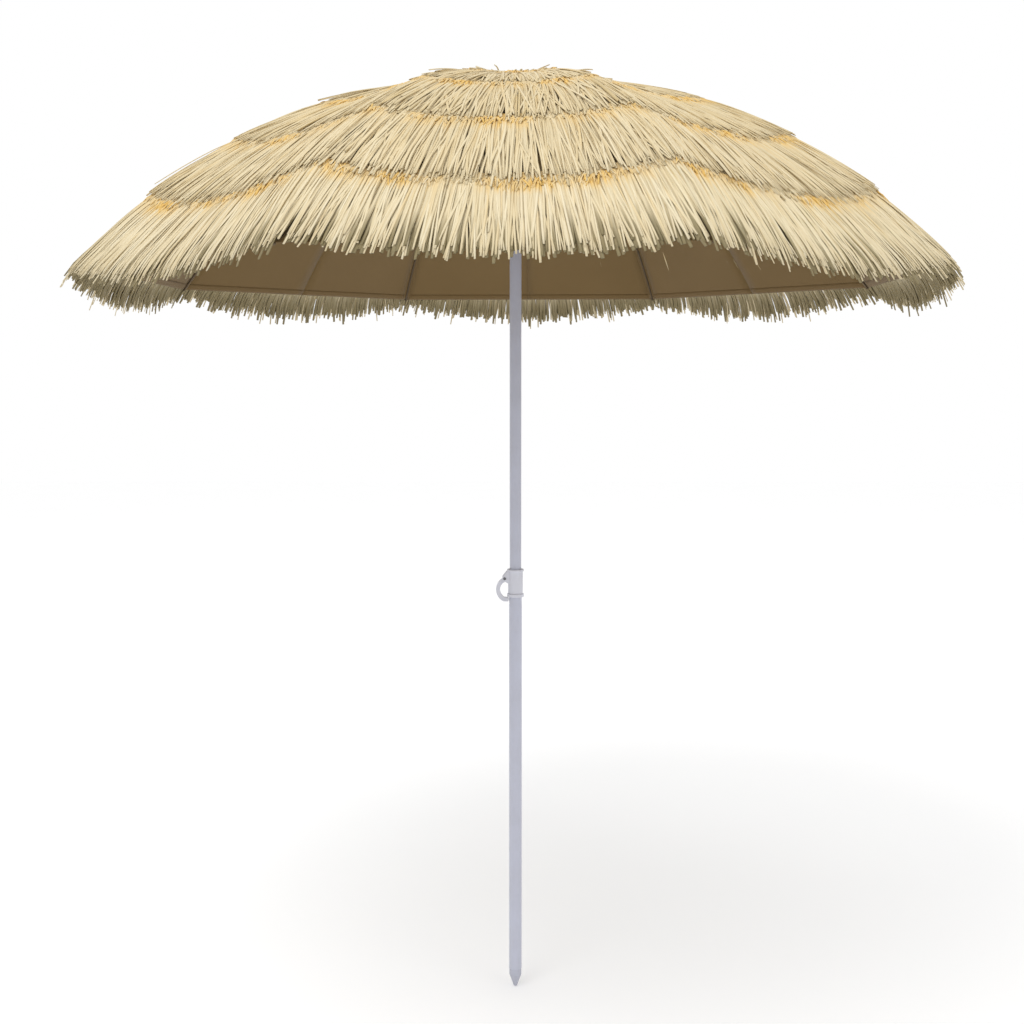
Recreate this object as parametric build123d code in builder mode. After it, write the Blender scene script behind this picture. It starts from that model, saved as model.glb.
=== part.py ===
from build123d import *
from math import sin, cos, radians, degrees, asin, atan2, hypot
import os

os.makedirs("parts", exist_ok=True)

# Beach umbrella with a stepped pole. The origin is the spike's tip, +Z is up, and lengths are mm.

# Pole
LOWER_R, LOWER_WALL = 14.0, 1.15          # lower tube
UPPER_R, UPPER_WALL = 12.5, 1.0           # upper tube, which slides inside the lower one
SPIKE_SEAM_Z = 41.0                       # where the ground spike meets the lower tube
COLLAR_Z0, COLLAR_Z1 = 883.5, 944.0       # height collar on the lower tube's top end
NECK_R, NECK_Z0, NECK_Z = 13.7, 866.0, 926.0   # the lower tube's swaged end, up into the collar
UPPER_Z0, UPPER_Z1 = 625.0, 1962.0        # the upper tube, with 300 mm hidden in the lower one

# Height collar and clamp lever
COLLAR_R, FLANGE_R = 16.0, 18.2
LEVER_PIVOT = (-23.5, 924.0)              # X and Z of the lever's pin
LEVER_W, LEVER_T = 12.0, 8.5              # width across the lever and thickness of its loop
EAR_T, GAP = 3.2, 0.3
PIN_R = 2.0

# Canopy: each rib bends along an arc of CANOPY_R, level at the axis
RIBS = 8
FIRST_RIB = 19.85                         # degrees from -Y towards +X
STEP = 360 / RIBS
CANOPY_R = 1165.0
APEX_Z = 1971.0                           # top of the fabric on the axis
RIB_DROP, RIB_R = 5.5, 2.0                # the rib's centre line under the fabric's top
RIB_END = 995.0                           # slant length of a rib
FABRIC_T = 1.0
FABRIC_S0, FABRIC_S1 = 32.0, 1000.0       # slant distances of the fabric's inner edge and hem
FRINGE_LIFT = (0.8, 3.2)                  # underside and top of the fringe above the fabric
FRINGE_ROWS = (32.0, 200.0, 400.0, 600.0, 800.0, 1020.0)
ROW_GAP = 3.0
SEAM = 0.2                                # each half panel stops this far from its edge planes
HALF = radians(STEP / 2)

# Crown hub, runner, stretchers
CROWN_PIVOT_R, RUNNER_PIVOT_R, RUNNER_PIVOT_Z = 22.0, 24.0, 1770.0
WIRE_R, EYE_R, EYE_T, EYE_HOLE_R = 1.0, 4.0, 3.6, 1.35
HUB_R, RUNNER_FLANGE_R, SLOT_W = 27.0, 29.0, 5.2
STRETCHER_S, LUG = 330.0, 8.0             # where the stretcher meets the rib, and how far under it
LUG_T, CHEEK_T, CHEEK_GAP = 2.0, 1.2, 0.4
LUG_PIN_R = 1.2

# Spring catch in the upper tube that holds the runner up
LATCH_Z0, LATCH_Z1, LATCH_W = 1695.0, 1721.0, 6.0
LATCH_BACK_X, LATCH_OUT = 5.0, 4.0        # its back inside the tube, and how far its nose stands out
LEAF_T, LEAF_TAIL = 1.2, 12.0             # the leaf, and how far it runs past the nose at each end


def slope(s):
    return s / CANOPY_R


def rib_r(s):
    return CANOPY_R * sin(slope(s))


def fabric_z(s):
    return APEX_Z - CANOPY_R * (1 - cos(slope(s)))


def slant_at(r):
    return CANOPY_R * asin(r / CANOPY_R)


def rib_angle(k):
    return FIRST_RIB + STEP * k


def radial(angle):
    """Horizontal unit vector at an angle counted from -Y towards +X."""
    return Vector(sin(radians(angle)), -cos(radians(angle)), 0)


def upright_plane(angle, side=0.0):
    """Plane with local X outwards, local Y up and its normal against the angle's sense."""
    out = radial(angle)
    normal = Vector(out.Y, -out.X, 0)
    return Plane(origin=normal * side, x_dir=out, z_dir=normal)


CROWN_PIVOT_Z = fabric_z(slant_at(CROWN_PIVOT_R)) - RIB_DROP
LUG_SLOPE = slope(STRETCHER_S)
LUG_POINT = (
    rib_r(STRETCHER_S) - LUG * sin(LUG_SLOPE),
    fabric_z(STRETCHER_S) - RIB_DROP - LUG * cos(LUG_SLOPE),
)


def finish(name, builder):
    builder.part.label = name
    export_step(builder.part, f"parts/{name}.step")


# --- Lower pole -----------------------------------------------------------------------------
with BuildPart() as ground_spike:
    with BuildSketch(Plane.XZ):
        with BuildLine():
            Polyline(
                (0, 0), (3.0, 0), (4.2, 1.4), (13.4, 27.0), (13.4, 40.0), (12.8, SPIKE_SEAM_Z),
                (12.8, 78.0), (11.6, 80.0), (9.0, 80.0), (9.0, 50.0), (0, 44.0), close=True,
            )
        make_face()
    revolve(axis=Axis.Z)
finish("ground_spike", ground_spike)

with BuildPart() as lower_tube:
    with BuildSketch(Plane.XZ):
        with BuildLine():
            bore = LOWER_R - LOWER_WALL
            Polyline(
                (bore, SPIKE_SEAM_Z), (LOWER_R, SPIKE_SEAM_Z), (LOWER_R, NECK_Z0),
                (NECK_R, NECK_Z0), (NECK_R, NECK_Z), (bore, NECK_Z), close=True,
            )
        make_face()
    revolve(axis=Axis.Z)
finish("lower_tube", lower_tube)

with BuildPart() as height_collar:
    with BuildSketch(Plane.XZ):
        with BuildLine():
            inner_top = UPPER_R + 0.35
            Polyline(
                (NECK_R, COLLAR_Z0), (FLANGE_R - 0.8, COLLAR_Z0), (FLANGE_R, COLLAR_Z0 + 0.8),
                (FLANGE_R, COLLAR_Z0 + 6.2), (FLANGE_R - 0.8, COLLAR_Z0 + 7.0),
                (COLLAR_R, COLLAR_Z0 + 7.6), (COLLAR_R, COLLAR_Z1 - 5.4),
                (FLANGE_R - 0.8, COLLAR_Z1 - 4.8), (FLANGE_R, COLLAR_Z1 - 4.0),
                (FLANGE_R, COLLAR_Z1 - 1.0), (FLANGE_R - 1.0, COLLAR_Z1),
                (inner_top + 0.8, COLLAR_Z1), (inner_top, COLLAR_Z1 - 0.8),
                (inner_top, NECK_Z), (NECK_R, NECK_Z), close=True,
            )
        make_face()
    revolve(axis=Axis.Z)
    # Two ears carry the lever's pin, and slope up from it to the top flange.
    ear_in = LEVER_W / 2 + GAP
    for ear_y in (ear_in, -ear_in - EAR_T):
        with BuildSketch(Plane.XZ.offset(-ear_y - EAR_T)):
            with BuildLine():
                Polyline(
                    (-13.0, 941.0), (-17.6, 941.0), (-28.4, 928.0), (-28.6, 921.4),
                    (-25.6, 918.0), (-21.0, 916.6), (-13.0, 911.0), close=True,
                )
            make_face()
        extrude(amount=EAR_T)
    with BuildSketch(Plane.XY.offset(COLLAR_Z0)):
        Circle(NECK_R)
    extrude(amount=NECK_Z - COLLAR_Z0, mode=Mode.SUBTRACT)
    with BuildSketch(Plane.XY.offset(NECK_Z)):
        Circle(inner_top)
    extrude(amount=COLLAR_Z1 - NECK_Z, mode=Mode.SUBTRACT)
    # The clamp slit between the ears.
    with BuildSketch(Plane.XY.offset(900.0)):
        with Locations((-15.0, 0)):
            Rectangle(9.0, 2.4)
    extrude(amount=60.0, mode=Mode.SUBTRACT)
    with BuildSketch(Plane.XZ):
        with Locations(LEVER_PIVOT):
            Circle(PIN_R)
    extrude(amount=20.0, both=True, mode=Mode.SUBTRACT)
finish("height_collar", height_collar)

with BuildPart() as lever_pin:
    with BuildSketch(Plane.XZ):
        with Locations(LEVER_PIVOT):
            Circle(PIN_R)
    extrude(amount=ear_in + EAR_T, both=True)
    for head_side in (1, -1):
        with BuildSketch(Plane.XZ.offset(head_side * (ear_in + EAR_T))):
            with Locations(LEVER_PIVOT):
                Circle(3.2)
        extrude(amount=head_side * 1.0)
finish("lever_pin", lever_pin)

# --- Clamp lever: a cam round the pin that runs on into an open finger loop --------------------
with BuildPart() as clamp_lever:
    with BuildSketch(Plane.XZ):
        with BuildLine():
            loop = ThreePointArc((-25.2, 920.5), (-37.75, 901.5), (-25.5, 878.2))
            Line(loop @ 1, (-17.6, 877.6))
        trace(line_width=LEVER_T)
        with Locations((-22.7, 922.0)):
            Circle(6.2)
        with Locations((-18.6, 877.6)):
            Circle(LEVER_T / 2)
        with Locations(LEVER_PIVOT):
            Circle(PIN_R + 0.05, mode=Mode.SUBTRACT)
    extrude(amount=LEVER_W / 2, both=True)
finish("clamp_lever", clamp_lever)

# --- Upper pole -----------------------------------------------------------------------------
with BuildPart() as upper_tube:
    with BuildSketch(Plane.XY.offset(UPPER_Z0)):
        Circle(UPPER_R)
        Circle(UPPER_R - UPPER_WALL, mode=Mode.SUBTRACT)
    extrude(amount=UPPER_Z1 - UPPER_Z0)
    # Slot on +X that the catch works through.
    with BuildSketch(Plane.YZ.offset(UPPER_R - 3.0)):
        with Locations((0, (LATCH_Z0 + LATCH_Z1) / 2)):
            Rectangle(LATCH_W + 2 * GAP, LATCH_Z1 - LATCH_Z0 + 2 * GAP)
    extrude(amount=5.0, mode=Mode.SUBTRACT)
finish("upper_tube", upper_tube)

with BuildPart() as runner_latch:
    with BuildSketch(Plane.XZ):
        with BuildLine():
            face_x = UPPER_R + LATCH_OUT
            Polyline(
                (LATCH_BACK_X, LATCH_Z0), (UPPER_R - 0.5, LATCH_Z0), (face_x, LATCH_Z1 - 5.0),
                (face_x, LATCH_Z1), (LATCH_BACK_X, LATCH_Z1), close=True,
            )
        make_face()
        with Locations((LATCH_BACK_X + LEAF_T / 2, (LATCH_Z0 + LATCH_Z1) / 2)):
            Rectangle(LEAF_T, LATCH_Z1 - LATCH_Z0 + 2 * LEAF_TAIL)
    extrude(amount=LATCH_W / 2, both=True)
finish("runner_latch", runner_latch)


def cut_slots(r_out, slot_from, slot_z0, slot_z1):
    """Cuts one radial slot for each rib out of the disc being built."""
    for k in range(RIBS):
        with BuildSketch(upright_plane(rib_angle(k))) as slot:
            with Locations(((slot_from + r_out + 2.0) / 2, (slot_z0 + slot_z1) / 2)):
                Rectangle(r_out + 2.0 - slot_from, slot_z1 - slot_z0)
        extrude(slot.sketch, amount=SLOT_W / 2, both=True, mode=Mode.SUBTRACT)


def wire_groove(ring_r, z, mode):
    with BuildSketch(Plane.XZ) as wire:
        with Locations((ring_r, z)):
            Circle(WIRE_R)
    revolve(wire.sketch, axis=Axis.Z, mode=mode)


with BuildPart() as crown_hub:
    hub_z0, slot_top, hub_z1 = APEX_Z - 23.0, APEX_Z - 1.6, APEX_Z + 2.0
    with BuildSketch(Plane.XZ):
        with BuildLine():
            Polyline(
                (0, UPPER_Z1), (UPPER_R, UPPER_Z1), (UPPER_R, hub_z0 - 12.0), (16.0, hub_z0 - 12.0),
                (17.0, hub_z0), (HUB_R - 1, hub_z0), (HUB_R, hub_z0 + 1), (HUB_R, hub_z1 - 1),
                (HUB_R - 1, hub_z1), (0, hub_z1), close=True,
            )
        make_face()
    revolve(axis=Axis.Z)
    cut_slots(HUB_R, 17.2, hub_z0 - 1.0, slot_top)
    wire_groove(CROWN_PIVOT_R, CROWN_PIVOT_Z, Mode.SUBTRACT)
finish("crown_hub", crown_hub)

with BuildPart() as crown_wire:
    wire_groove(CROWN_PIVOT_R, CROWN_PIVOT_Z, Mode.ADD)
finish("crown_wire", crown_wire)

# Short tied strands that stand over the crown hub.
with BuildPart() as crown_tuft:
    with BuildSketch(Plane.XZ):
        with BuildLine():
            Polyline(
                (0, hub_z1), (HUB_R - 1, hub_z1), (HUB_R + 3, hub_z1 + 3.0), (62.0, hub_z1 + 1.8),
                (64.0, hub_z1 + 3.6), (40.0, hub_z1 + 9.0), (14.0, hub_z1 + 16.0),
                (0, hub_z1 + 17.0), close=True,
            )
        make_face()
    revolve(axis=Axis.Z)
finish("crown_tuft", crown_tuft)

# --- Runner ---------------------------------------------------------------------------------
with BuildPart() as runner:
    with BuildSketch(Plane.XZ):
        with BuildLine():
            runner_bore, sleeve_r = UPPER_R + 0.4, 18.0
            Polyline(
                (runner_bore, 1722.0), (sleeve_r - 1, 1722.0), (sleeve_r, 1723.0),
                (sleeve_r, 1762.5), (RUNNER_FLANGE_R - 1, 1762.5), (RUNNER_FLANGE_R, 1763.5),
                (RUNNER_FLANGE_R, 1776.5), (RUNNER_FLANGE_R - 1, 1777.5), (sleeve_r, 1777.5),
                (sleeve_r, 1784.0), (runner_bore, 1784.0), close=True,
            )
        make_face()
    revolve(axis=Axis.Z)
    cut_slots(RUNNER_FLANGE_R, 19.2, 1761.0, 1779.0)
    wire_groove(RUNNER_PIVOT_R, RUNNER_PIVOT_Z, Mode.SUBTRACT)
finish("runner", runner)

with BuildPart() as runner_wire:
    wire_groove(RUNNER_PIVOT_R, RUNNER_PIVOT_Z, Mode.ADD)
finish("runner_wire", runner_wire)

# --- Ribs and stretchers ----------------------------------------------------------------------
arc_centre_z = APEX_Z - CANOPY_R
reach = hypot(LUG_POINT[0] - RUNNER_PIVOT_R, LUG_POINT[1] - RUNNER_PIVOT_Z)
tilt = degrees(atan2(LUG_POINT[1] - RUNNER_PIVOT_Z, LUG_POINT[0] - RUNNER_PIVOT_R))

for k in range(RIBS):
    plane = upright_plane(rib_angle(k))

    with BuildPart() as rib:
        rib_s0 = slant_at(CROWN_PIVOT_R) + EYE_HOLE_R + 0.8
        with BuildLine(plane) as rib_line:
            CenterArc(
                (0, arc_centre_z - RIB_DROP), CANOPY_R,
                90 - degrees(slope(rib_s0)), -degrees((RIB_END - rib_s0) / CANOPY_R),
            )
        with BuildSketch(Plane(origin=rib_line.line @ 0, z_dir=rib_line.line % 0)):
            Circle(RIB_R)
        sweep()
        with BuildSketch(plane):
            with Locations((CROWN_PIVOT_R, CROWN_PIVOT_Z)):
                Circle(EYE_R)
        extrude(amount=EYE_T / 2, both=True)
        with BuildSketch(plane):
            with Locations((CROWN_PIVOT_R, CROWN_PIVOT_Z)):
                Circle(EYE_HOLE_R)
        extrude(amount=EYE_T, both=True, mode=Mode.SUBTRACT)
        # Lug and its pin, where the stretcher joins.
        with BuildSketch(plane):
            with Locations(Location(LUG_POINT + (0,), -degrees(LUG_SLOPE))):
                Circle(3.2)
                with Locations((0, LUG / 2)):
                    Rectangle(6.4, LUG)
        extrude(amount=LUG_T / 2, both=True)
        with BuildSketch(plane):
            with Locations(LUG_POINT):
                Circle(LUG_PIN_R)
        extrude(amount=LUG_T / 2 + CHEEK_GAP + CHEEK_T + 0.4, both=True)
        with Locations(rib_line.line @ 1):
            Sphere(2.8)
    finish(f"rib_{k + 1}", rib)

    with BuildPart() as stretcher:
        spine = plane * Location((RUNNER_PIVOT_R, RUNNER_PIVOT_Z), tilt)
        spine_plane = Plane(spine)
        with BuildSketch(Plane(
            origin=spine_plane.from_local_coords((EYE_R - 1.0, 0, 0)), z_dir=spine_plane.x_dir
        )):
            Circle(RIB_R)
        extrude(amount=reach - EYE_R + 1.0 - 6.0)
        with BuildSketch(spine_plane):
            Circle(EYE_R)
        extrude(amount=EYE_T / 2, both=True)
        for cheek in (1, -1):
            near = cheek * (LUG_T / 2 + CHEEK_GAP)
            with BuildSketch(spine_plane.offset(near)):
                with Locations((reach - 6.0, 0)):
                    SlotCenterToCenter(12.0, 6.4)
            extrude(amount=cheek * CHEEK_T)
        with BuildSketch(spine_plane):
            Circle(EYE_HOLE_R)
        extrude(amount=EYE_T, both=True, mode=Mode.SUBTRACT)
        with BuildSketch(spine_plane):
            with Locations((reach, 0)):
                Circle(LUG_PIN_R + 0.35)
        extrude(amount=EYE_T, both=True, mode=Mode.SUBTRACT)
    finish(f"stretcher_{k + 1}", stretcher)


# --- Canopy: two half panels on each rib, each with rows of fringe ------------------------------
def strip(s0, s1, low, high):
    """Thin band over slant s0 to s1 on a panel's middle plane, between two heights."""
    x_radius = CANOPY_R * cos(HALF)
    hem_angle, span = 90 - degrees(slope(s1)), degrees((s1 - s0) / CANOPY_R)
    with BuildLine() as outline:
        under = EllipticalCenterArc(
            (0, arc_centre_z + low), x_radius, CANOPY_R, hem_angle, arc_size=span
        )
        over = EllipticalCenterArc(
            (0, arc_centre_z + high), x_radius, CANOPY_R, hem_angle, arc_size=span
        )
        Line(under @ 0, over @ 0)
        Line(under @ 1, over @ 1)
    make_face(outline.edges())


def half_panel_wedge(middle, side):
    """Keeps only what lies between the panel's middle plane and the rib's plane."""
    far = 1300.0
    out, across = radial(middle), radial(middle + 90)
    inner = SEAM / sin(HALF)
    corners = [
        out * (inner + 1.0) + across * side * SEAM,
        out * far + across * side * SEAM,
        out * far + across * side * ((far - inner) * sin(HALF) / cos(HALF)),
        out * (inner + 1.0) + across * side * (1.0 * sin(HALF) / cos(HALF)),
    ]
    with BuildSketch(Plane.XY.offset(1000.0)) as wedge:
        with BuildLine():
            Polyline([(c.X, c.Y) for c in corners], close=True)
        make_face()
    extrude(wedge.sketch, amount=1500.0, mode=Mode.INTERSECT)


for k in range(RIBS):
    for letter, side in (("a", 1), ("b", -1)):
        # Half panel a lies on the rib's lower-angle side, and b on its higher-angle side.
        middle = rib_angle(k) - side * STEP / 2
        panel_plane = upright_plane(middle)

        with BuildPart() as fabric:
            with BuildSketch(panel_plane):
                strip(FABRIC_S0, FABRIC_S1, -FABRIC_T, 0)
            extrude(amount=-side * 420.0)
            half_panel_wedge(middle, side)
        finish(f"fabric_{k + 1}{letter}", fabric)

        with BuildPart() as fringe:
            with BuildSketch(panel_plane):
                for s0, s1 in zip(FRINGE_ROWS, FRINGE_ROWS[1:]):
                    strip(s0, s1 - ROW_GAP, *FRINGE_LIFT)
            extrude(amount=-side * 420.0)
            half_panel_wedge(middle, side)
        finish(f"fringe_{k + 1}{letter}", fringe)
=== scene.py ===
import math
import bpy
import numpy as np
from mathutils import Matrix, Vector


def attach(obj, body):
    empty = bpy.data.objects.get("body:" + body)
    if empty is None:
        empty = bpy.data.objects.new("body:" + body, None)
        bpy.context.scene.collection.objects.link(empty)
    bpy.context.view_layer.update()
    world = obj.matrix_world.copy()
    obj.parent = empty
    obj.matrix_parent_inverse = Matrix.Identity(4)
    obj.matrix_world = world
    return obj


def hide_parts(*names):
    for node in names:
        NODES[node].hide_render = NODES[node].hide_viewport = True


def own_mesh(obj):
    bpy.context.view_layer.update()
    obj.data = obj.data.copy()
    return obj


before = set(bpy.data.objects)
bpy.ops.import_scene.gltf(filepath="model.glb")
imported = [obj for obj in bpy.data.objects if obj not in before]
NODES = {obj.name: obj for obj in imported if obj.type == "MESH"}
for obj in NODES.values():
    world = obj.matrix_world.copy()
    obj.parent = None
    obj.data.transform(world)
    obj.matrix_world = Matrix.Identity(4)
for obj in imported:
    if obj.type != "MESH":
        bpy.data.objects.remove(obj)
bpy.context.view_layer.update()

rng = np.random.default_rng(41)

# ------------------------------------------------------------------ canopy geometry, in metres
RIBS = 8
FIRST_RIB, STEP = math.radians(19.85), math.radians(45.0)
HALF = STEP / 2
CANOPY_R, APEX_Z = 1.165, 1.971
INNER_S, HEM_S, RIB_END = 0.030, 1.0, 0.995
CLOTH_T, HEM_T = 0.0006, 0.0004
HEM_TURN, SEAM_W = 0.017, 0.008   # depth of the turned-up hem, width of the seam allowance
UNDER_CLOTH = -0.0008            # the trim lies this far below the cloth
SAG = 0.007                      # how far a panel's middle is drawn in between its ribs


def slope(s):
    return s / CANOPY_R


def rib_radius(s):
    return CANOPY_R * np.sin(slope(s))


def fabric_z(s):
    return APEX_Z - CANOPY_R * (1 - np.cos(slope(s)))


def out_dir(angle):
    return np.array([math.sin(angle), -math.cos(angle), 0.0])


def side_dir(angle):
    return np.array([math.cos(angle), math.sin(angle), 0.0])


UP = np.array([0.0, 0.0, 1.0])


# The middle line of a panel, by its own arc length, runs on past the hem for the fringe.
_s = np.linspace(0.0, HEM_S, 801)
_u = rib_radius(_s) * math.cos(HALF)
_z = fabric_z(_s)
_arc = np.concatenate([[0.0], np.cumsum(np.hypot(np.diff(_u), np.diff(_z)))])
HEM_ARC = float(_arc[-1])


def middle_line(arc, droop):
    """Position and slope angle on the middle line; past the hem the slope steepens by droop."""
    inside = np.minimum(arc, HEM_ARC)
    s = np.interp(inside, _arc, _s)
    a = slope(s)
    u, z = np.interp(inside, _arc, _u), np.interp(inside, _arc, _z)
    pitch = np.arctan2(np.sin(a), np.cos(a) * math.cos(HALF))
    over = np.maximum(arc - HEM_ARC, 0.0)
    end = np.minimum(pitch + droop * over, 1.52)
    mean = (pitch + end) / 2
    return u + over * np.cos(mean), z - over * np.sin(mean), np.where(over > 0, end, pitch)


def half_width(arc):
    """Distance from the middle line to the rib at that arc length."""
    s = np.interp(np.minimum(arc, HEM_ARC), _arc, _s)
    return rib_radius(s) * math.sin(HALF) * np.maximum(arc / HEM_ARC, 1.0)


def panel_points(k, side, arc, across, lift, droop=0.0):
    """Points on side -1 or +1 of rib k; across runs from the panel's middle line to the rib."""
    middle = FIRST_RIB + STEP * k + side * HALF
    u, z, pitch = middle_line(arc, droop)
    width = np.maximum(half_width(arc), 1e-4)
    inward = SAG * np.sin(np.pi * np.clip(arc / HEM_ARC, 0, 1) ** 0.8) ** 0.7
    sag = inward * np.cos(np.clip(across / width, -1, 1) * math.pi / 2)
    offset = lift - sag
    u = u + offset * np.sin(pitch)
    z = z + offset * np.cos(pitch)
    toward_rib = -side * side_dir(middle)
    return (
        u[..., None] * out_dir(middle) + z[..., None] * UP + across[..., None] * toward_rib
    )


# ------------------------------------------------------------------ mesh helper
def make_mesh(name, verts, quads, material, uv=None, colour=None, smooth=True):
    verts = np.asarray(verts, np.float32).reshape(-1, 3)
    quads = np.asarray(quads, np.int32).reshape(-1, 4)
    mesh = bpy.data.meshes.new(name)
    mesh.vertices.add(len(verts))
    mesh.vertices.foreach_set("co", verts.ravel())
    mesh.loops.add(quads.size)
    mesh.loops.foreach_set("vertex_index", quads.ravel())
    mesh.polygons.add(len(quads))
    mesh.polygons.foreach_set("loop_start", np.arange(0, quads.size, 4, dtype=np.int32))
    mesh.update(calc_edges=True)
    mesh.polygons.foreach_set("use_smooth", np.full(len(quads), smooth))
    if uv is not None:
        layer = mesh.uv_layers.new(name="UVMap")
        layer.data.foreach_set("uv", np.asarray(uv, np.float32)[quads.ravel()].ravel())
    if colour is not None:
        layer = mesh.color_attributes.new("strand", "FLOAT_COLOR", "POINT")
        layer.data.foreach_set("color", np.asarray(colour, np.float32).ravel())
    mesh.validate()
    mesh.materials.append(material)
    obj = bpy.data.objects.new(name, mesh)
    bpy.context.scene.collection.objects.link(obj)
    return obj


def grid_quads(rows, cols, start=0, flip=False):
    r, c = np.meshgrid(np.arange(rows - 1), np.arange(cols - 1), indexing="ij")
    a = (start + r * cols + c).ravel()
    quads = np.stack([a, a + 1, a + cols + 1, a + cols], 1)
    return quads[:, ::-1] if flip else quads


# ------------------------------------------------------------------ materials
SKIN_DEPTH = 0.00005               # height of the fine grain on paint, plastic and steel


def new_material(name, rough, **sockets):
    material = bpy.data.materials.new(name)
    material.use_nodes = True
    tree = material.node_tree
    shader = tree.nodes["Principled BSDF"]
    shader.inputs["Roughness"].default_value = rough
    for key, value in sockets.items():
        shader.inputs[key.replace("_", " ")].default_value = value
    return material, tree, shader


def node(tree, kind, **values):
    n = tree.nodes.new(kind)
    for key, value in values.items():
        if key in n.inputs:
            n.inputs[key].default_value = value
        else:
            setattr(n, key, value)
    return n


def noise(tree, vector, scale, detail=3.0, rough=0.5):
    n = node(tree, "ShaderNodeTexNoise", Scale=scale, Detail=detail, Roughness=rough)
    tree.links.new(vector, n.inputs["Vector"])
    return n.outputs["Fac"]


def ramp(tree, fac, stops):
    n = tree.nodes.new("ShaderNodeValToRGB")
    elements = n.color_ramp.elements
    while len(elements) < len(stops):
        elements.new(0.5)
    for element, (at, colour) in zip(elements, stops):
        element.position = at
        element.color = (*colour, 1.0)
    tree.links.new(fac, n.inputs["Fac"])
    return n.outputs["Color"]


def mix(tree, fac, a, b, blend="MIX"):
    n = tree.nodes.new("ShaderNodeMix")
    n.data_type, n.blend_type = "RGBA", blend
    for socket, value in ((0, fac), (6, a), (7, b)):
        if isinstance(value, bpy.types.NodeSocket):
            tree.links.new(value, n.inputs[socket])
        else:
            n.inputs[socket].default_value = value if socket == 0 else (*value, 1.0)
    return n.outputs[2]


def product(tree, a, b):
    n = node(tree, "ShaderNodeMath", operation="MULTIPLY")
    tree.links.new(a, n.inputs[0])
    tree.links.new(b, n.inputs[1])
    return n.outputs[0]


def bump(tree, shader, height, strength, distance):
    n = node(tree, "ShaderNodeBump", Strength=strength, Distance=distance)
    tree.links.new(height, n.inputs["Height"])
    tree.links.new(n.outputs["Normal"], shader.inputs["Normal"])


def object_coords(tree):
    return tree.nodes.new("ShaderNodeTexCoord").outputs["Object"]


def uv_coords(tree):
    return tree.nodes.new("ShaderNodeTexCoord").outputs["UV"]


def raffia_material():
    """Straw-coloured strands: the colour attribute holds tone, painted shade on the lower layer
    and hanging ends, and dye.
    """
    material, tree, shader = new_material("raffia", 0.62, Specular_IOR_Level=0.3)
    attribute = node(tree, "ShaderNodeVertexColor", layer_name="strand")
    parts = tree.nodes.new("ShaderNodeSeparateColor")
    tree.links.new(attribute.outputs["Color"], parts.inputs["Color"])
    tone, painted_shade, gold = parts.outputs[0], parts.outputs[1], parts.outputs[2]
    base = ramp(tree, tone, [
        (0.0, (0.56, 0.44, 0.235)), (0.22, (0.62, 0.515, 0.32)), (0.55, (0.67, 0.575, 0.385)),
        (0.82, (0.71, 0.63, 0.455)), (1.0, (0.665, 0.62, 0.50)),
    ])
    uv = uv_coords(tree)
    mottled = noise(tree, uv, 42.0, 2.0)
    shade = mix(tree, mottled, (0.91, 0.90, 0.87), (1.05, 1.04, 1.02))
    base = mix(tree, 1.0, base, shade, "MULTIPLY")
    # painted shade: the second colour channel mixes in a dark brown where strands lie in shade
    base = mix(tree, painted_shade, base, (0.20, 0.16, 0.075))
    dyed = mix(tree, mottled, (0.62, 0.38, 0.085), (0.76, 0.53, 0.19))
    base = mix(tree, gold, base, dyed)
    tree.links.new(base, shader.inputs["Base Color"])
    stretch = node(tree, "ShaderNodeMapping")
    stretch.inputs["Scale"].default_value = (9.0, 260.0, 1.0)
    tree.links.new(uv, stretch.inputs["Vector"])
    fibres = noise(tree, stretch.outputs["Vector"], 1.0, 3.0, 0.6)
    bump(tree, shader, fibres, 0.45, 0.0006)
    return material


def cloth_material(name, dark, light):
    material, tree, shader = new_material(
        name, 0.82, Specular_IOR_Level=0.22, Sheen_Weight=0.12, Sheen_Roughness=0.5
    )
    uv = uv_coords(tree)
    warp = node(tree, "ShaderNodeTexWave", Scale=620.0, Distortion=0.6, bands_direction="X")
    weft = node(tree, "ShaderNodeTexWave", Scale=620.0, Distortion=0.6, bands_direction="Y")
    for wave in (warp, weft):
        tree.links.new(uv, wave.inputs["Vector"])
    weave = product(tree, warp.outputs["Fac"], weft.outputs["Fac"])
    blotch = noise(tree, object_coords(tree), 5.0, 4.0)
    base = mix(tree, blotch, dark, light)
    base = mix(tree, weave, base, mix(tree, 1.0, base, (1.25, 1.25, 1.25), "MULTIPLY"))
    tree.links.new(base, shader.inputs["Base Color"])
    bump(tree, shader, weave, 0.35, 0.0003)
    return material


def hard_material(name, colour, rough, metallic=0.0, grime=0.12, grain=900.0):
    """Paint, plastic or metal with a fine skin, uneven gloss and a little grime."""
    material, tree, shader = new_material(name, rough, Metallic=metallic)
    coords = object_coords(tree)
    large = noise(tree, coords, 9.0, 5.0, 0.6)
    small = noise(tree, coords, grain, 2.0)
    dirty = tuple(c * (1 - grime) * t for c, t in zip(colour, (1.0, 0.985, 0.955)))
    base = mix(tree, ramp(tree, large, [(0.35, (0, 0, 0)), (0.75, (1, 1, 1))]), colour, dirty)
    tree.links.new(base, shader.inputs["Base Color"])
    spread = node(tree, "ShaderNodeMapRange")
    spread.inputs["To Min"].default_value = rough - 0.07
    spread.inputs["To Max"].default_value = rough + 0.12
    tree.links.new(large, spread.inputs["Value"])
    tree.links.new(spread.outputs["Result"], shader.inputs["Roughness"])
    bump(tree, shader, small, 0.5, SKIN_DEPTH)
    return material


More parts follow.
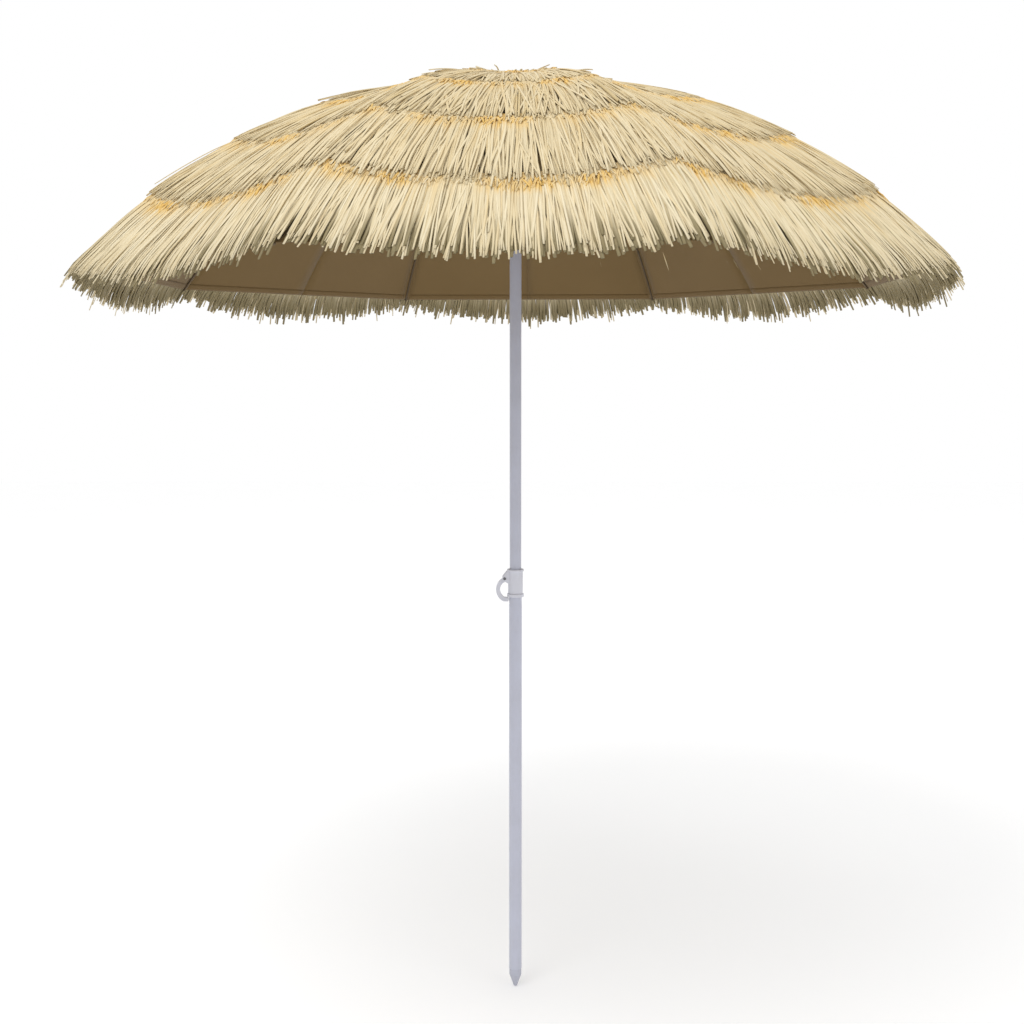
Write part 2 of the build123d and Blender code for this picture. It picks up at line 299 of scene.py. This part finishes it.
def spun_material(name, colour, rough):
    """Drawn or plated steel with fine lines round the axis."""
    material, tree, shader = new_material(name, rough, Metallic=1.0)
    stretch = node(tree, "ShaderNodeMapping")
    stretch.inputs["Scale"].default_value = (60.0, 60.0, 1500.0)
    tree.links.new(object_coords(tree), stretch.inputs["Vector"])
    lines = noise(tree, stretch.outputs["Vector"], 1.0, 3.0)
    dull = tuple(c * 0.72 for c in colour)
    tree.links.new(mix(tree, lines, dull, colour), shader.inputs["Base Color"])
    bump(tree, shader, lines, 0.3, SKIN_DEPTH)
    return material


RAFFIA = raffia_material()
# The cloth is brown, and both cloth colours are set darker still as painted shade for the
# underside of the canopy.
CLOTH = cloth_material("canopy_cloth", (0.140, 0.088, 0.031), (0.168, 0.108, 0.041))
HEM_CLOTH = cloth_material("hem_cloth", (0.128, 0.080, 0.028), (0.155, 0.098, 0.037))
POLE = hard_material("pole_paint", (0.46, 0.475, 0.565), 0.30, grime=0.10, grain=420.0)
WHITE_PLASTIC = hard_material("white_plastic", (0.60, 0.61, 0.685), 0.36, grime=0.14)
GREY_PLASTIC = hard_material("grey_plastic", (0.42, 0.42, 0.43), 0.5, grime=0.2)
STEEL = spun_material("steel", (0.62, 0.62, 0.63), 0.34)
PIN_STEEL = spun_material("pin_steel", (0.16, 0.16, 0.17), 0.45)
# painted shade: the steel ribs and stretchers get a dark brown close to the shaded cloth
RIB_STEEL = hard_material("rib_steel", (0.105, 0.070, 0.032), 0.5, metallic=0.2, grime=0.25)
SPIKE = hard_material("spike_plastic", (0.44, 0.45, 0.53), 0.45, grime=0.3)

# ------------------------------------------------------------------ carried-over CAD nodes
CAD_LOOKS = {
    "lower_tube": POLE, "upper_tube": POLE, "ground_spike": SPIKE,
    "height_collar": WHITE_PLASTIC, "clamp_lever": WHITE_PLASTIC, "lever_pin": PIN_STEEL,
    "crown_hub": GREY_PLASTIC, "crown_wire": STEEL, "runner": WHITE_PLASTIC,
    "runner_wire": STEEL, "runner_latch": STEEL,
}
for k in range(RIBS):
    CAD_LOOKS[f"stretcher_{k + 1}"] = RIB_STEEL
ROUNDED = {"height_collar": 0.0006, "clamp_lever": 0.0011, "runner": 0.0007, "crown_hub": 0.0006}


def dress(obj, material):
    if not obj.material_slots:
        obj.data.materials.append(material)
    for entry in obj.material_slots:
        entry.material = material


for name, material in CAD_LOOKS.items():
    dress(NODES[name], material)
    if name in ROUNDED:
        edge = NODES[name].modifiers.new("edge", "BEVEL")
        edge.width, edge.segments, edge.limit_method = ROUNDED[name], 2, "ANGLE"
        edge.angle_limit, edge.harden_normals = math.radians(35), False


# ------------------------------------------------------------------ canopy cloth
def fold_with(obj, body):
    """Rides the piece on its body, with a mesh of its own."""
    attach(obj, body)
    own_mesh(obj)


def cloth_grid(k, side, arcs, shares, lift):
    """Points of a patch: arcs down the middle line, shares of the half width towards the rib."""
    arc, share = np.meshgrid(arcs, shares, indexing="ij")
    across = share * half_width(arc)
    lifts = np.broadcast_to(lift, arc.shape)
    return panel_points(k, side, arc, across, lifts), np.stack([across, arc], -1).reshape(-1, 2)


INNER_ARC = float(np.interp(INNER_S, _s, _arc))
cloth_arcs = np.linspace(INNER_ARC, HEM_ARC, 61)
cloth_shares = np.linspace(0.0, 1.0, 13)


def solid(obj, thickness):
    thick = obj.modifiers.new("thickness", "SOLIDIFY")
    thick.thickness, thick.offset = thickness, -1.0


def bake(obj):
    """Applies the modifiers, so that the mesh is final."""
    graph = bpy.context.evaluated_depsgraph_get()
    mesh = bpy.data.meshes.new_from_object(obj.evaluated_get(graph))
    obj.modifiers.clear()
    obj.data = mesh


def fabric_piece(k, side, letter):
    points, uv = cloth_grid(k, side, cloth_arcs, cloth_shares, -0.0002)
    quads = grid_quads(len(cloth_arcs), len(cloth_shares), flip=side < 0)
    obj = make_mesh(f"canopy_cloth_{k + 1}{letter}", points, quads, CLOTH, uv=uv)
    solid(obj, CLOTH_T)
    bake(obj)
    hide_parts(f"fabric_{k + 1}{letter}")
    return obj


def trim_piece(k, side, letter):
    """The turned-up hem and the seam allowance along the rib, under the cloth."""
    verts, quads, uvs, start = [], [], [], 0
    strips = [
        (np.linspace(HEM_ARC - HEM_TURN, HEM_ARC, 4), np.linspace(0, 1, 19), UNDER_CLOTH),
        (np.linspace(INNER_ARC + 0.03, HEM_ARC - 0.002, 61), None, UNDER_CLOTH),
    ]
    for arcs, shares, lift in strips:
        if shares is None:
            arc, inset = np.meshgrid(
                arcs, np.array([0.0, SEAM_W / 2, SEAM_W]), indexing="ij"
            )
            across = half_width(arc) - inset
            points = panel_points(k, side, arc, across, np.full(arc.shape, lift))
            uv, cols = np.stack([across, arc], -1).reshape(-1, 2), 3
        else:
            points, uv = cloth_grid(k, side, arcs, shares, lift)
            cols = len(shares)
        verts.append(points.reshape(-1, 3))
        uvs.append(uv)
        quads.append(grid_quads(len(arcs), cols, start, flip=(side < 0) != (shares is None)))
        start += len(arcs) * cols
    obj = make_mesh(
        f"canopy_hem_{k + 1}{letter}", np.concatenate(verts), np.concatenate(quads),
        HEM_CLOTH, uv=np.concatenate(uvs),
    )
    solid(obj, HEM_T)
    bake(obj)
    return obj


# ------------------------------------------------------------------ fringe strands
RING = 5                          # sides of a strand
ROW_SLANTS = (0.035, 0.2, 0.4, 0.6, 0.8)
ROW_ENDS = (0.205, 0.405, 0.604, 0.803, 1.0)
STRAND_PITCH = 0.0012
TUCK = 0.018                      # how far a row starts under the tips of the row above
STRAND_RINGS = 10
RIB_OVERHANG = 0.007              # how far a strand may lie past its rib
BAND_PITCH = 0.0013               # the sewn band at the top of a row
LAST_ROW = len(ROW_SLANTS) - 1
ROOT_LIFT = (0.0015, 0.0015, 0.002, 0.002, 0.002)
TIP_RISE = (0.002, 0.003, 0.0045, 0.0055, 0.004)   # how far a row's tips stand off the next row
DRIFT = (0.034, 0.022, 0.016, 0.011, 0.008)
AGED = (0.36, 0.34, 0.30, 0.18, 0.0)              # the upper rows are yellower
LOOSE = (0.30, 0.30, 0.24, 0.10, 0.015)            # share of strands that lie askew
LOOSE_DRIFT = 0.028               # how far askew they lie, at their tips
UNDER_SHARE, LAST_UNDER_SHARE = 0.42, 0.5          # share of strands in the under layer
UNDER_HALF_W, TOP_HALF_W = (0.0030, 0.0040), (0.0017, 0.0027)
FLATNESS = (0.40, 0.62)           # a strand's thickness against its width
STRAND_TILT, BAND_TILT = 0.3, 0.8
STRAY_SHARE, STRAY_RISE = 0.012, (0.004, 0.010)    # strands that stand off the row


def arc_of(slant, across):
    """Arc length down the middle line of a point at that distance from the apex."""
    return np.sqrt(np.maximum(slant ** 2 - across ** 2, 1e-6))


def tubes(paths, wide, thick, sides):
    """Flattened tubes along paths (strands, rings, 3); returns their points and faces."""
    count, rings = paths.shape[:2]
    tangent = np.gradient(paths, axis=1)
    tangent /= np.linalg.norm(tangent, axis=2, keepdims=True) + 1e-12
    across = sides - tangent * np.sum(sides * tangent, 2, keepdims=True)
    across /= np.linalg.norm(across, axis=2, keepdims=True) + 1e-12
    over = np.cross(tangent, across)
    turn = np.arange(RING) / RING * 2 * np.pi
    ring = (
        across[:, :, None] * (wide[..., None, None] * np.cos(turn)[:, None])
        + over[:, :, None] * (thick[..., None, None] * np.sin(turn)[:, None])
    )
    points = paths[:, :, None] + ring
    base = (np.arange(count) * rings * RING)[:, None, None]
    i, j = np.arange(rings - 1)[None, :, None], np.arange(RING)[None, None, :]
    a = base + i * RING + j
    b = base + i * RING + (j + 1) % RING
    quads = np.stack([a, b, b + RING, a + RING], -1).reshape(-1, 4)
    end = (np.arange(count) * rings * RING)[:, None] + (rings - 1) * RING
    caps = np.concatenate([
        np.stack([end[:, 0], end[:, 0] + 1, end[:, 0] + 2, end[:, 0] + 3], -1),
        np.stack([end[:, 0], end[:, 0] + 3, end[:, 0] + 4, end[:, 0]], -1),
    ])
    return points, quads, caps


def side_vectors(k, side, shape, tilt):
    """Directions across the strands, each turned a little about its own line."""
    middle = FIRST_RIB + STEP * k + side * HALF
    sides = side_dir(middle)[None, None, :] + rng.normal(0, tilt, (shape[0], 1, 1)) * UP
    return np.broadcast_to(sides, shape)


def patches(k, side, row, share):
    """How much of the dyed band shows along a seam, from 0 to 1."""
    at = share * side + 2.3 * k + 1.7 * row
    wave = np.sin(at * 5.1) + 0.8 * np.sin(at * 11.3 + 1.0) + 0.5 * np.sin(at * 23.0 + 2.0)
    return np.clip(0.62 + 0.28 * wave, 0.12, 1.0)


def fringe_row(k, side, row, reach, droop_range):
    """One row of strands on a half panel, as paths with their widths, side vectors and tones."""
    slant0, slant1 = ROW_SLANTS[row], ROW_ENDS[row]
    mid = 0.4 * slant0 + 0.6 * slant1
    span = float(half_width(np.array(mid * 0.94)))
    count = max(12, int(span / STRAND_PITCH))
    layer = rng.random(count)
    low = layer < (LAST_UNDER_SHARE if row == LAST_ROW else UNDER_SHARE)
    share = np.clip((np.arange(count) + rng.uniform(-0.7, 0.7, count)) / count, 0.0, 1.0)
    across0 = share * float(half_width(np.array(slant0 * 0.95)))
    if row == LAST_ROW:
        slant1 = slant1 * (reach + 0.026 * share ** 2)
    length = (slant1 - slant0) * (1 + rng.normal(0, 0.045 if row else 0.10, count))
    length *= np.where(rng.random(count) < 0.05, rng.uniform(0.80, 1.06, count), 1.0)
    loose = (rng.random(count) < LOOSE[row]) & ~low
    drift = rng.normal(0, DRIFT[row], count) * np.where(low, 0.5, 1.0)
    drift = drift + np.where(loose, rng.normal(0, LOOSE_DRIFT, count), 0.0)
    t = np.linspace(0, 1, STRAND_RINGS)[None, :]
    tuck = TUCK if row else 0.0
    slant = slant0 - tuck + t * (length[:, None] + tuck)
    spread = 1 + (1 + rng.normal(0, 0.02, count)[:, None]) * (slant / slant0 - 1)
    waves = rng.uniform(0.8, 2.0, (count, 1))
    wander = rng.normal(0, 0.0022, count)[:, None] * np.sin(t * np.pi * waves)
    across = across0[:, None] * spread + drift[:, None] * t ** 1.4 + wander
    arc = arc_of(slant, np.minimum(across, slant * 0.5))
    across = np.minimum(across, half_width(arc) + RIB_OVERHANG)
    root = ROOT_LIFT[row] + 0.0035 * layer
    lift = root[:, None] + (TIP_RISE[row] * (0.55 + 0.75 * layer))[:, None] * t ** 1.3
    lift = lift + rng.normal(0, 0.0009, (count, 1)) * np.sin(t * np.pi * 1.5)
    stray = np.where(rng.random(count) < STRAY_SHARE, rng.uniform(*STRAY_RISE, count), 0.0)
    lift = lift + stray[:, None] * t
    droop = rng.uniform(*droop_range, count)[:, None]
    paths = panel_points(k, side, arc, across, lift, droop)
    under_half, top_half = rng.uniform(*UNDER_HALF_W, count), rng.uniform(*TOP_HALF_W, count)
    half = np.where(low, under_half, top_half)[:, None]
    wide = half * np.interp(t, [0, 0.06, 0.2, 0.9, 1.0], [0.8, 1.0, 1.0, 0.95, 0.75])
    thick = wide * rng.uniform(*FLATNESS, count)[:, None]
    tone = np.clip(0.22 + 0.62 * rng.beta(2.6, 2.0, count) - AGED[row], 0, 1)
    shown = patches(k, side, row, share)[:, None]
    gold_to = rng.uniform(0.14, 0.32, count)[:, None]
    gold = np.clip((gold_to + 0.05 - t) / 0.07, 0, 1) * rng.uniform(0.6, 1.0, (count, 1)) * shown
    is_stained = rng.random(count) < 0.10 + 0.6 * AGED[row]
    stained = np.where(is_stained, rng.uniform(0.1, 0.45, count), 0.0)[:, None]
    gold = np.maximum(gold, stained * (1 - t))
    # painted shade: lower-layer strands are darkened a little, and the hanging ends of the last
    # row more, the lower layer most
    hanging = np.clip((t - 0.55) / 0.3, 0, 1) if row == LAST_ROW else np.zeros_like(t)
    painted_shade = np.where(low, 0.10, 0.0)[:, None] + np.where(low, 0.80, 0.08)[:, None] * hanging
    sides = side_vectors(k, side, paths.shape, STRAND_TILT)
    return paths, wide, thick, sides, tone, gold, t, painted_shade


def sewn_band(k, side, row):
    """The folded tops of a row's strands: short dyed loops crowded along the seam."""
    slant0 = ROW_SLANTS[row]
    edge = float(half_width(np.array(slant0 * 0.95)))
    count = max(8, int(edge / BAND_PITCH))
    share = np.clip((np.arange(count) + rng.uniform(-0.8, 0.8, count)) / count, 0.0, 1.0)
    shown = patches(k, side, row, share)
    t = np.linspace(0, 1, 6)[None, :]
    start = slant0 - 0.003 + rng.normal(0, 0.0025, count)
    reach = rng.uniform(0.012, 0.034, count) * (0.5 + 0.6 * shown)
    slant = start[:, None] + reach[:, None] * t
    lean = rng.normal(0, 0.008, count)[:, None]
    across = (share * edge)[:, None] * (slant / slant0) + lean * (t - 0.4)
    arc = arc_of(slant, np.minimum(across, slant * 0.5))
    hump = (0.002 + 0.004 * shown * rng.random(count))[:, None]
    lift = ROOT_LIFT[row] + 0.002 + hump * np.sin(t * np.pi * 0.85)
    paths = panel_points(k, side, arc, across, lift)
    wide = rng.uniform(0.0010, 0.0019, count)[:, None] * np.ones_like(t)
    tone = rng.beta(2.0, 2.0, count)
    gold = np.broadcast_to((shown * rng.uniform(0.35, 1.25, count))[:, None], wide.shape)
    sides = side_vectors(k, side, paths.shape, BAND_TILT)
    return paths, wide, wide * 0.8, sides, tone, np.clip(gold, 0, 1), t, np.zeros_like(wide)


def strands_object(name, rows):
    """One mesh of all the strands in the rows."""
    verts, quads, uvs, colours, start = [], [], [], [], 0
    for paths, wide, thick, sides, tone, gold, t, painted_shade in rows:
        points, faces, caps = tubes(paths, wide, thick, sides)
        count, rings = paths.shape[:2]
        verts.append(points.reshape(-1, 3))
        quads += [faces + start, caps + start]
        offset = rng.random((count, 1, 1)) * 7
        v = np.broadcast_to(t[:, :, None] * 0.2, (count, rings, RING)) + offset
        u = np.broadcast_to(np.arange(RING) / RING * 0.02, (count, rings, RING)) + offset
        uvs.append(np.stack([u, v], -1).reshape(-1, 2))
        shape = (count, rings, RING)
        colour = np.stack([
            np.broadcast_to(tone[:, None, None], shape), np.broadcast_to(painted_shade[:, :, None], shape),
            np.broadcast_to(gold[:, :, None], shape), np.ones(shape),
        ], -1)
        colours.append(colour.reshape(-1, 4))
        start += count * rings * RING
    obj = make_mesh(
        name, np.concatenate(verts), np.concatenate(quads), RAFFIA,
        uv=np.concatenate(uvs), colour=np.concatenate(colours),
    )
    return obj


def reach_of(k, side):
    """How far the last row hangs and how it droops: shorter and straighter at the front."""
    front = max(0.0, math.cos(FIRST_RIB + STEP * k + side * HALF))
    return 1.0 - 0.030 * front ** 2, (1.0 + 3.0 * (1 - front), 3.0 + 6.0 * (1 - front))


for k in range(RIBS):
    for letter, side in (("a", -1), ("b", 1)):
        body = f"panel_{k + 1}{letter}"
        cloth = fabric_piece(k, side, letter)
        trim = trim_piece(k, side, letter)
        reach, droop = reach_of(k, side)
        rows = [fringe_row(k, side, row, reach, droop) for row in range(LAST_ROW + 1)]
        rows += [sewn_band(k, side, row) for row in range(1, LAST_ROW + 1)]
        fringe = strands_object(f"raffia_fringe_{k + 1}{letter}", rows)
        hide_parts(f"fringe_{k + 1}{letter}")
        for piece in (cloth, trim, fringe):
            fold_with(piece, body)

# ------------------------------------------------------------------ ribs, each a copy riding on its rib body
for k in range(RIBS):
    source = NODES[f"rib_{k + 1}"]
    rib = bpy.data.objects.new(f"rib_spring_{k + 1}", source.data.copy())
    bpy.context.scene.collection.objects.link(rib)
    rib.matrix_world = Matrix.Identity(4)
    dress(rib, RIB_STEEL)
    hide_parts(f"rib_{k + 1}")
    fold_with(rib, f"rib_{k + 1}")

# ------------------------------------------------------------------ crown tuft
CROWN_STRANDS, CROWN_RINGS = 230, 11
CROWN_LENGTH = (0.035, 0.095)
STANDING_SHARE = 0.04
PAD_R, PAD_T = 0.058, 0.002


def crown_tuft():
    """Loose ends tied over the hub, some of them curling up."""
    count, rings = CROWN_STRANDS, CROWN_RINGS
    t = np.linspace(0, 1, rings)[None, :]
    angle = rng.uniform(0, 2 * np.pi, count)
    outward = np.stack([np.sin(angle), -np.cos(angle), np.zeros(count)], 1)
    sideways = np.stack([np.cos(angle), np.sin(angle), np.zeros(count)], 1)
    length = rng.uniform(*CROWN_LENGTH, count)
    start = rng.uniform(0.004, 0.026, count)
    upright = rng.uniform(0, 0.10, count)
    standing = rng.random(count) < STANDING_SHARE
    upright = np.where(standing, rng.uniform(0.5, 1.0, count), upright)
    start = np.where(standing, rng.uniform(0.01, 0.13, count), start)
    radius = start[:, None] + length[:, None] * t * (1 - 0.75 * upright[:, None])
    hump = (0.003 + 0.006 * rng.random(count))[:, None]
    rise = hump * np.sin(np.clip(t * 2.2, 0, 1) * np.pi / 2)
    height = APEX_Z + 0.0035 + rise - radius ** 2 * 0.55
    height = height + upright[:, None] * 0.034 * t ** 1.3
    swing = rng.normal(0, 0.024, count)[:, None] * t ** 1.5
    wave = rng.normal(0, 0.003, (count, 1)) * np.sin(t * 5.0)
    paths = (
        radius[..., None] * outward[:, None] + (swing + wave)[..., None] * sideways[:, None]
        + height[..., None] * UP
    )
    tilt = STRAND_TILT * rng.normal(0, 1, (count, 1, 1)) * UP
    sides = np.broadcast_to(sideways[:, None], paths.shape) + tilt
    taper = np.interp(t, [0, 0.9, 1], [1, 0.95, 0.7])
    wide = rng.uniform(*TOP_HALF_W, count)[:, None] * taper
    tone = rng.beta(2.4, 2.0, count)
    gold = np.clip(0.35 - t, 0, 1) * rng.uniform(0, 2.2, count)[:, None]
    return paths, wide, wide * 0.7, sides, tone, np.clip(gold, 0, 1), t, np.zeros_like(wide)


def crown_disc():
    """The stitched raffia pad that closes the top over the hub."""
    rings, turns = 9, 64
    radius = np.linspace(0.0, 1.0, rings)
    angle = np.arange(turns + 1) / turns * 2 * np.pi
    r, a = np.meshgrid(radius, angle, indexing="ij")
    ruffle = 0.0012 * np.sin(a * 24) * r
    x, y = PAD_R * r * np.cos(a), PAD_R * r * np.sin(a)
    z = APEX_Z + 0.0065 - 0.0042 * r ** 2 + ruffle
    verts = np.stack([x, y, z], -1).reshape(-1, 3)
    quads = grid_quads(rings, turns + 1)
    uv = np.stack([a.ravel() * 0.3, r.ravel() * 0.2], -1)
    shape = (rings, turns + 1)
    tone = 0.35 + 0.3 * rng.random(shape)
    dye = 0.75 + 0.25 * rng.random(shape)
    colour = np.stack([tone, np.zeros(shape), dye, np.ones(shape)], -1)
    obj = make_mesh("crown_pad", verts, quads, RAFFIA, uv=uv, colour=colour.reshape(-1, 4))
    solid(obj, PAD_T)
    bake(obj)
    return obj


tuft = strands_object("crown_strands", [crown_tuft()])
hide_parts("crown_tuft")
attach(tuft, "upper_pole")
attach(crown_disc(), "upper_pole")

# ------------------------------------------------------------------ floor, light and camera
FLOOR_HALF, FLOOR_Z = 14.0, -0.002


def floor_piece():
    corners = ((-1, -1), (1, -1), (1, 1), (-1, 1))
    edge = [(x * FLOOR_HALF, y * FLOOR_HALF, FLOOR_Z) for x, y in corners]
    material, tree, shader = new_material("floor", 0.9, Specular_IOR_Level=0.1)
    mottled = noise(tree, object_coords(tree), 2.0)
    base = mix(tree, mottled, (0.985, 0.985, 0.985), (1.0, 1.0, 1.0))
    tree.links.new(base, shader.inputs["Base Color"])
    obj = make_mesh("floor", edge, [[0, 1, 2, 3]], material, smooth=False)


floor_piece()
world = bpy.data.worlds.new("studio")
bpy.context.scene.world = world
world.use_nodes = True
world.node_tree.nodes["Background"].inputs["Color"].default_value = (1.0, 1.0, 1.0, 1.0)
world.node_tree.nodes["Background"].inputs["Strength"].default_value = 1.0


def area_light(name, place, target, size, power):
    data = bpy.data.lights.new(name, "AREA")
    data.shape, data.size, data.energy = "DISK", size, power
    lamp = bpy.data.objects.new(name, data)
    lamp.location = place
    lamp.rotation_euler = (Vector(target) - Vector(place)).to_track_quat("-Z", "Y").to_euler()
    bpy.context.scene.collection.objects.link(lamp)


area_light("key", (-1.6, -2.6, 5.2), (0.0, 0.0, 1.6), 2.6, 85.0)
area_light("fill", (2.8, -2.6, 2.6), (0.0, 0.0, 1.3), 2.5, 12.0)

CAMERA_AT, CAMERA_PITCH, LENS = (-0.0076, -2.888, 1.368), math.radians(5.92), 47.16
lens = bpy.data.cameras.new("camera")
lens.lens, lens.sensor_width, lens.clip_end = LENS, 36.0, 100.0
camera = bpy.data.objects.new("camera", lens)
camera.location = CAMERA_AT
camera.rotation_euler = (math.pi / 2 - CAMERA_PITCH, 0.0, 0.0)
bpy.context.scene.collection.objects.link(camera)
bpy.context.scene.camera = camera
bpy.context.scene.view_settings.view_transform = "Standard"
